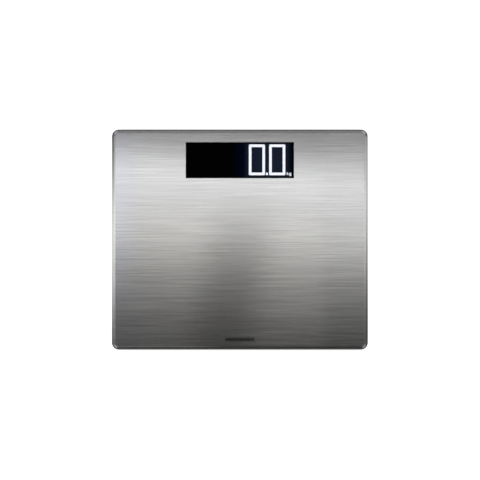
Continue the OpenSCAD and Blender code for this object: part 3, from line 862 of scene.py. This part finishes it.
@dataclass
class Housing:
    """The lower housing and the unit button."""

    finishes: Finishes
    button_place: Pair = (30 * MM, 95 * MM)

    def shell(self) -> Thing:
        """Copies the shell's mesh and smooths it."""
        piece = Bench.refined("base_shell", "lower_shell", 0.0)
        return fit(piece, Body.CHASSIS.value, "base_plastic", self.finishes, "base_shell")

    def button(self) -> Thing:
        """Models the button: a flange, a plain side and a dished face that looks down."""
        low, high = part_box("unit_button")
        flange = high.z - 0.8 * MM
        rings = [
            (6.2 * MM, high.z), (6.2 * MM, flange), (4.9 * MM, flange), (4.9 * MM, low.z + 0.4 * MM),
            (4.78 * MM, low.z + 0.12 * MM), (4.5 * MM, low.z), (4.0 * MM, low.z + 0.05 * MM),
            (3.0 * MM, low.z + 0.32 * MM), (1.6 * MM, low.z + 0.5 * MM), (0.3 * MM, low.z + 0.56 * MM),
        ]
        piece = Bench.turned("unit_key", self.button_place, rings, 48)
        Bench.smooth(piece)
        return fit(piece, Body.BUTTON.value, "button_plastic", self.finishes, "unit_button")

    def build(self) -> None:
        """Builds the shell and the button."""
        self.shell()
        self.button()


@dataclass
class BatteryDoor:
    """The battery box's hinged door."""

    finishes: Finishes
    edge_ease: float = 0.2 * MM

    def build(self) -> Thing:
        """Copies the door's mesh and eases its edges."""
        door = Bench.refined("battery_door", "door_panel", self.edge_ease, 60.0)
        return fit(door, Body.DOOR.value, "base_plastic", self.finishes, "battery_door")


@dataclass
class CornerFoot:
    """One foot with its rubber pad."""

    finishes: Finishes
    corner: Corner
    foot_radius: float = 23.5 * MM
    pad_radius: float = 20.0 * MM
    grooves: tuple[float, ...] = (9.0 * MM, 14.0 * MM)

    @property
    def place(self) -> Pair:
        """The foot's axis, from its CAD node."""
        low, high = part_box(f"foot_{self.corner.label}")
        return (low.x + high.x) / 2, (low.y + high.y) / 2

    def cup(self) -> Thing:
        """Models the foot: a dished disc with a middle boss."""
        low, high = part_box(f"foot_{self.corner.label}")
        r, z0 = self.foot_radius, low.z
        rim, floor = 7.0 * MM, z0 + 2.0 * MM
        recess = z0 + 0.6 * MM
        rings = [
            (1.55 * MM, recess), (self.pad_radius + 0.2 * MM, recess), (self.pad_radius + 0.2 * MM, z0),
            (r - 1.0 * MM, z0), (r - 0.5 * MM, z0 + 0.13 * MM), (r - 0.13 * MM, z0 + 0.5 * MM),
            (r, z0 + 1.0 * MM), (r, rim - 0.3 * MM), (r - 0.3 * MM, rim), (r - 1.7 * MM, rim),
            (r - 2.0 * MM, rim - 0.3 * MM),
            (r - 2.0 * MM, floor), (5.5 * MM, floor), (5.0 * MM, rim - 0.2 * MM), (5.0 * MM, high.z),
            (1.55 * MM, high.z),
        ]
        piece = Bench.turned(f"foot_cup_{self.corner.label}", self.place, rings)
        Bench.smooth(piece)
        node = f"foot_{self.corner.label}"
        return fit(piece, node, "foot_plastic", self.finishes, node)

    def pad(self) -> Thing:
        """Models the pad with its grip grooves."""
        low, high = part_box(f"foot_pad_{self.corner.label}")
        r, z0 = self.pad_radius, low.z
        rings = [(0.2 * MM, z0)]
        for groove in self.grooves:
            rings += [
                (groove - 0.15 * MM, z0), (groove, z0 + 0.15 * MM), (groove + 0.1 * MM, z0 + 0.7 * MM),
                (groove + 1.3 * MM, z0 + 0.7 * MM), (groove + 1.4 * MM, z0 + 0.15 * MM),
                (groove + 1.55 * MM, z0),
            ]
        rings += [
            (r - 0.8 * MM, z0), (r - 0.4 * MM, z0 + 0.11 * MM), (r - 0.11 * MM, z0 + 0.4 * MM),
            (r, z0 + 0.8 * MM), (r, high.z), (0.2 * MM, high.z),
        ]
        piece = Bench.turned(f"grip_pad_{self.corner.label}", self.place, rings)
        Bench.smooth(piece)
        return fit(
            piece, f"foot_{self.corner.label}", "pad_rubber", self.finishes, f"foot_pad_{self.corner.label}"
        )

    def build(self) -> None:
        """Builds the foot and the pad."""
        self.cup()
        self.pad()


@dataclass
class KeptNodes:
    """CAD nodes whose shape is right: each is dressed by its slot, but the three cells get printed sleeves
    instead.
    """

    finishes: Finishes
    sleeves: dict[str, int] = field(default_factory=lambda: {"battery_1": 1, "battery_2": -1, "battery_3": 1})

    def build(self) -> None:
        """Dresses every CAD node."""
        for row in frame["record"]["subparts"]:
            node = frame["nodes"][row["node"]]
            if row["node"] in self.sleeves:
                side = self.sleeves[row["node"]]
                paint(node, CellSleeve(f"cell_sleeve_{row['node']}", side).material())
            else:
                self.finishes.dress(node, row["material_slot"])
            LOG.info("%s keeps its CAD shape", row["node"])


# ------------------------------------------------------------------ stage


GAIN_PLACES = (0.12, 0.05, -0.02, -0.10)


@dataclass
class Softbox:
    """A one-sided rectangular light."""

    name: str
    place: Point
    size: Pair
    power: float
    colour: Colour = (1.0, 1.0, 1.0)
    turn: Point = (0.0, 0.0, 0.0)

    def build(self) -> Thing:
        """Hangs the light."""
        data = bpy.data.lights.new(self.name, "AREA")
        data.shape = "RECTANGLE"
        data.size, data.size_y = self.size
        data.energy, data.color = self.power, self.colour
        lamp = bpy.data.objects.new(self.name, data)
        lamp.location = self.place
        lamp.rotation_euler = [math.radians(a) for a in self.turn]
        lamp.visible_camera = False
        bpy.context.scene.collection.objects.link(lamp)
        return lamp


def gain_at(y: float, gains: tuple[float, ...]) -> float:
    """Reads a light's gain between the four places where it is given.

    Args:
        y: The place in metres.
        gains: The gains at the places in ``GAIN_PLACES``.

    Returns:
        The gain, held beyond both ends.
    """
    if y >= GAIN_PLACES[0]:
        return gains[0]
    for (high, low), (first, second) in zip(
        zip(GAIN_PLACES, GAIN_PLACES[1:]), zip(gains, gains[1:])
    ):
        if y >= low:
            return second + (first - second) * (y - low) / (high - low)
    return gains[-1]


@dataclass(frozen=True)
class LightTable:
    """Rows of narrow softboxes over the platform, brightest a little behind its middle.

    Each row gives its Y and depth in metres and its watts per metre over the
    platform's middle and its right. Each span gives its ends in metres, the
    side whose watts it takes, its gains and its colour far and near.
    """

    height: float = 0.29
    slant: float = -3.4
    rows: tuple[tuple[float, float, float, float], ...] = (
        (0.300, 0.110, 0.095, 0.086),
        (0.190, 0.040, 0.052, 0.062),
        (0.125, 0.030, 0.048, 0.084),
        (0.100, 0.030, 0.215, 0.148),
        (0.078, 0.030, 0.090, 0.108),
        (0.052, 0.030, 0.065, 0.078),
        (0.026, 0.030, 0.103, 0.086),
        (-0.003, 0.030, 0.083, 0.080),
        (-0.043, 0.030, 0.059, 0.043),
        (-0.093, 0.030, 0.037, 0.023),
        (-0.153, 0.030, 0.014, 0.008),
    )
    even: ClassVar[tuple[float, ...]] = (1.0, 1.0, 1.0, 1.0)
    cool: ClassVar[Colour] = (0.985, 0.985, 1.0)
    warm: ClassVar[Colour] = (1.0, 0.98, 0.94)
    near_below: float = 0.03
    spans: tuple[tuple[str, float, float, int, tuple[float, ...], Colour, Colour], ...] = (
        ("far_left", -0.62, -0.32, 0, (0.33, 1.25, 2.1, 2.6), (0.94, 0.96, 1.0), (0.98, 0.98, 1.0)),
        ("near_left", -0.32, -0.165, 0, (0.99, 1.11, 1.07, 1.01), (0.925, 0.94, 1.0), (0.95, 0.96, 1.0)),
        ("middle", -0.165, 0.13, 0, even, (0.988, 0.988, 1.0), (1.0, 0.985, 0.945)),
        ("right", 0.13, 0.20, 1, even, cool, (1.0, 0.99, 0.97)),
        ("near_right", 0.20, 0.32, 1, (0.89, 1.05, 0.94, 0.70), cool, warm),
        ("far_right", 0.32, 0.62, 1, (0.91, 1.1, 1.05, 0.65), cool, warm),
    )

    def build(self) -> list[Thing]:
        """Hangs the rows and gives them back."""
        lamps = []
        for index, (y, depth, *watts) in enumerate(self.rows):
            for side, low, high, column, gains, far, near in self.spans:
                middle = (low + high) / 2
                place = (middle, y + math.tan(math.radians(self.slant)) * middle, self.height)
                power = watts[column] * (high - low) * gain_at(y, gains)
                colour = far if y > self.near_below else near
                size, turn = (high - low, depth), (0, 0, self.slant)
                lamp = Softbox(f"overhead_{side}_{index}", place, size, power, colour, turn)
                lamps.append(lamp.build())
        return lamps


@dataclass(frozen=True)
class Walls:
    """Upright softboxes to the left, to the right, behind and in front, for the rolled edges."""

    away: float = 0.60
    size: Pair = (0.31, 0.06)
    left: tuple[Pair, ...] = (
        (0.15, 0.002), (0.09, 0.030), (0.03, 0.075), (-0.03, 0.060), (-0.09, 0.032)
    )
    right: tuple[Pair, ...] = ((0.15, 0.035), (0.09, 0.060), (0.03, 0.050), (-0.03, 0.020))
    left_tint: Colour = (0.96, 0.98, 1.0)
    right_tint: Colour = (1.0, 1.0, 0.985)
    end_tint: Colour = (1.0, 0.975, 0.94)
    foot: float = 0.01
    behind: float = 0.45
    behind_place: Point = (0.0, 0.52, 0.23)
    behind_size: Pair = (1.2, 0.44)
    before: float = 0.10
    before_place: Pair = (-0.43, 0.42)
    before_depth: float = 0.30

    def build(self) -> None:
        """Stands the walls up."""
        for side, sign, rows, colour in (
            ("left", -1, self.left, self.left_tint), ("right", 1, self.right, self.right_tint)
        ):
            for index, (y, power) in enumerate(rows):
                place = (sign * self.away, y, self.foot + self.size[0] / 2)
                turn = (0, 90 * sign, 0)
                Softbox(f"wall_{side}_{index}", place, self.size, power, colour, turn).build()
        Softbox(
            "wall_behind", self.behind_place, self.behind_size, self.behind, self.end_tint, (-90, 0, 0)
        ).build()
        for side, x, wide, power in (
            ("left", -0.335, 0.57, self.before), ("all", 0.0, 1.24, 0.6 * self.before)
        ):
            place, size = (x, *self.before_place), (wide, self.before_depth)
            Softbox(f"bank_before_{side}", place, size, power, self.end_tint, (45, 0, 0)).build()


@dataclass(frozen=True)
class Scrim:
    """Half-clear gauze that dims the middle of the platform's front."""

    place: Point = (0.0, -0.045, 0.16)
    size: Pair = (0.24, 0.25)
    depth: float = 0.38
    lean: float = 0.20
    upright_at: float = 0.010
    reach: Pair = (0.008, 0.075)
    fade: Pair = (-0.035, 0.080)

    def build(self) -> None:
        """Hangs the gauze."""
        Bench.clear()
        bpy.ops.mesh.primitive_plane_add(size=1.0, location=self.place)
        bpy.ops.transform.resize(value=(*self.size, 1.0), center_override=self.place)
        gauze = Bench.settle("gauze")
        g = Graph("gauze_weave")
        shift = g.math("MULTIPLY", g.math("SUBTRACT", self.upright_at, g.axis("Y")), self.lean)
        aside = g.math("ABSOLUTE", g.math("ADD", g.axis("X"), shift))
        across = g.span(aside, self.reach, (1.0, 0.0), smooth=True)
        along = g.span(g.axis("Y"), self.fade, (1.0, 0.0), smooth=True)
        thick = g.math("MULTIPLY", g.math("MULTIPLY", across, along), self.depth)
        clear = g.add("ShaderNodeBsdfTransparent")
        felt = g.add("ShaderNodeBsdfDiffuse", Color=(0.0, 0.0, 0.0))
        mix = Studio.either(g, thick, clear, felt)
        g.tree.links.new(mix.outputs[0], g.output.inputs[0])
        paint(gauze, g.material)
        gauze.visible_camera = False


@dataclass
class Studio:
    """Floor, lights, gauze, backdrop and camera."""

    frame_width: float = 656.25 * MM
    frame_height_z: float = 19.7 * MM
    lens: float = 120.0
    aim: Pair = (0.19 * MM, -0.56 * MM)
    paper_glow: float = 0.93
    gloss_near: float = 0.90
    gloss_far: float = 0.015
    gloss_behind: float = 0.34
    gloss_before: float = 0.22
    gloss_tint: Colour = (1.0, 0.97, 0.92)
    ridge_y: float = 0.033
    ridge_slope: float = 0.10
    ridge_reach: float = 0.19
    ends_from: Pair = (0.14, 0.16)
    ends_share: float = 0.10
    right_from: Pair = (0.17, 0.20)
    right_share: float = 0.62
    behind_from: Pair = (0.26, 0.32)
    before_from: Pair = (-0.23, -0.28)
    corner_span: Pair = (0.20, 0.42)
    band_span: Pair = (0.02, 0.22)
    sensor: float = 36.0
    corner_level: float = 0.50
    band_level: float = 0.16
    zenith: float = 0.012
    overhead: list[Thing] = field(default_factory=list)

    @staticmethod
    def either(g: Graph, choice: Socket, first: bpy.types.Node, second: bpy.types.Node) -> bpy.types.Node:
        """Takes one shader where the choice is nought and the other where it is one.

        Args:
            g: The tree.
            choice: The choice.
            first: The shader at nought.
            second: The shader at one.

        Returns:
            The mixing node.
        """
        mix = g.add("ShaderNodeMixShader")
        g.tree.links.new(choice, mix.inputs[0])
        g.tree.links.new(first.outputs[0], mix.inputs[1])
        g.tree.links.new(second.outputs[0], mix.inputs[2])
        return mix

    def floor(self) -> None:
        """Lays a pale floor that is clear from below and shows glossy rays a painted reflection."""
        Bench.clear()
        bpy.ops.mesh.primitive_plane_add(size=8.0)
        floor = Bench.settle("studio_floor")
        g = Graph("studio_floor_paper_and_painted_reflection")
        rays = g.add("ShaderNodeLightPath")
        paper = g.add("ShaderNodeBsdfDiffuse", Color=(0.85, 0.85, 0.85))
        glow = g.add("ShaderNodeEmission", Color=(1.0, 1.0, 1.0), Strength=self.paper_glow)
        lit = g.add("ShaderNodeAddShader")
        g.tree.links.new(paper.outputs[0], lit.inputs[0])
        g.tree.links.new(glow.outputs[0], lit.inputs[1])
        # Painted reflection: glossy rays see the floor glow. It is brightest along a slanted line a little
        # behind the middle, dimmer past the front and back ends and on the right, and brighter again far
        # behind and far in front.
        slant = g.math("ADD", self.ridge_y, g.math("MULTIPLY", g.axis("X"), self.ridge_slope))
        back = g.math("ABSOLUTE", g.math("SUBTRACT", g.axis("Y"), slant))
        levels = (self.gloss_near, self.gloss_far)
        sheen = g.span(back, (0.0, self.ridge_reach), levels, smooth=True)
        ends = g.span(g.math("ABSOLUTE", g.axis("Y")), self.ends_from, (1.0, self.ends_share))
        right = g.span(g.axis("X"), self.right_from, (1.0, self.right_share))
        sheen = g.math("MULTIPLY", sheen, g.math("MULTIPLY", ends, right))
        for reach, level in (
            (self.behind_from, self.gloss_behind), (self.before_from, self.gloss_before),
        ):
            sheen = g.math("ADD", sheen, g.span(g.axis("Y"), reach, (0.0, level), smooth=True))
        painted_reflection = g.add("ShaderNodeEmission", Color=self.gloss_tint, Strength=sheen)
        seen = self.either(g, rays.outputs["Is Glossy Ray"], lit, painted_reflection)
        clear = g.add("ShaderNodeBsdfTransparent")
        side = g.add("ShaderNodeNewGeometry")
        mix = self.either(g, side.outputs["Backfacing"], seen, clear)
        g.tree.links.new(mix.outputs[0], g.output.inputs[0])
        paint(floor, g.material)

    def backdrop(self) -> None:
        """Sets a world that is white to the camera and dim elsewhere but in the room's corners."""
        world = bpy.data.worlds.new("studio_backdrop")
        bpy.context.scene.world = world
        world.use_nodes = True
        tree = world.node_tree
        tree.nodes.clear()
        place = tree.nodes.new("ShaderNodeTexCoord")
        split = tree.nodes.new("ShaderNodeSeparateXYZ")
        tree.links.new(place.outputs["Generated"], split.inputs[0])

        def ramp(value: Socket, old: Pair, new: Pair) -> Socket:
            """Carries a value smoothly from one range to another.

            Args:
                value: What to carry over.
                old: The range it comes from.
                new: The range it goes to.

            Returns:
                The new value.
            """
            node = tree.nodes.new("ShaderNodeMapRange")
            node.interpolation_type = "SMOOTHSTEP"
            tree.links.new(value, node.inputs["Value"])
            for name, number in zip(("From Min", "From Max", "To Min", "To Max"), (*old, *new)):
                node.inputs[name].default_value = number
            return node.outputs[0]

        def combine(operation: str, first: Socket, second: Socket | None = None) -> Socket:
            """One sum on one or two values.

            Args:
                operation: The sum.
                first: The first value.
                second: The second value, if the sum takes one.

            Returns:
                The result.
            """
            node = tree.nodes.new("ShaderNodeMath")
            node.operation = operation
            tree.links.new(first, node.inputs[0])
            if second is not None:
                tree.links.new(second, node.inputs[1])
            return node.outputs[0]

        corner = combine("ABSOLUTE", combine("MULTIPLY", split.outputs["X"], split.outputs["Y"]))
        corners = ramp(corner, self.corner_span, (self.zenith, self.corner_level))
        band = ramp(split.outputs["Z"], self.band_span, (self.band_level, 0.0))
        level = combine("ADD", corners, band)
        dim = tree.nodes.new("ShaderNodeBackground")
        white = tree.nodes.new("ShaderNodeBackground")
        for shade in (dim, white):
            shade.inputs["Color"].default_value = (1.0, 1.0, 1.0, 1.0)
        tree.links.new(level, dim.inputs["Strength"])
        rays = tree.nodes.new("ShaderNodeLightPath")
        mix = tree.nodes.new("ShaderNodeMixShader")
        out = tree.nodes.new("ShaderNodeOutputWorld")
        tree.links.new(rays.outputs["Is Camera Ray"], mix.inputs[0])
        tree.links.new(dim.outputs[0], mix.inputs[1])
        tree.links.new(white.outputs[0], mix.inputs[2])
        tree.links.new(mix.outputs[0], out.inputs[0])

    def camera(self) -> None:
        """Stands the camera straight above the platform."""
        data = bpy.data.cameras.new("camera")
        data.lens, data.sensor_width = self.lens, self.sensor
        data.clip_start, data.clip_end = 0.01, 100.0
        camera = bpy.data.objects.new("camera", data)
        distance = self.frame_width * self.lens / self.sensor
        camera.location = (*self.aim, self.frame_height_z + distance)
        bpy.context.scene.collection.objects.link(camera)
        bpy.context.scene.camera = camera

    def spare(self, *pieces: Thing) -> None:
        """Keeps the overhead lights' glare off some pieces.

        Args:
            pieces: What the overhead lights leave out.
        """
        spared = bpy.data.collections.new("without_glare")
        for piece in pieces:
            spared.objects.link(piece)
        for item in spared.collection_objects:
            item.light_linking.link_state = "EXCLUDE"
        for lamp in self.overhead:
            lamp.light_linking.receiver_collection = spared

    def build(self) -> None:
        """Builds the whole stage."""
        self.camera()
        self.floor()
        self.overhead = LightTable().build()
        Walls().build()
        Scrim().build()
        self.backdrop()
        settings = bpy.context.scene.view_settings
        settings.view_transform, settings.look = "Standard", "None"


def main() -> None:
    """Builds the scale and its stage."""
    logging.basicConfig(level=logging.INFO, format="%(name)s: %(message)s")
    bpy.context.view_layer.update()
    finishes = Finishes()
    studio = Studio()
    studio.build()
    KeptNodes(finishes).build()
    Platform(finishes).build()
    pane = Display(finishes).build()
    studio.spare(pane)
    Housing(finishes).build()
    BatteryDoor(finishes).build()
    for corner in Corner:
        CornerFoot(finishes, corner).build()
    Bench.clear()


if __name__ == "__main__":
    main()
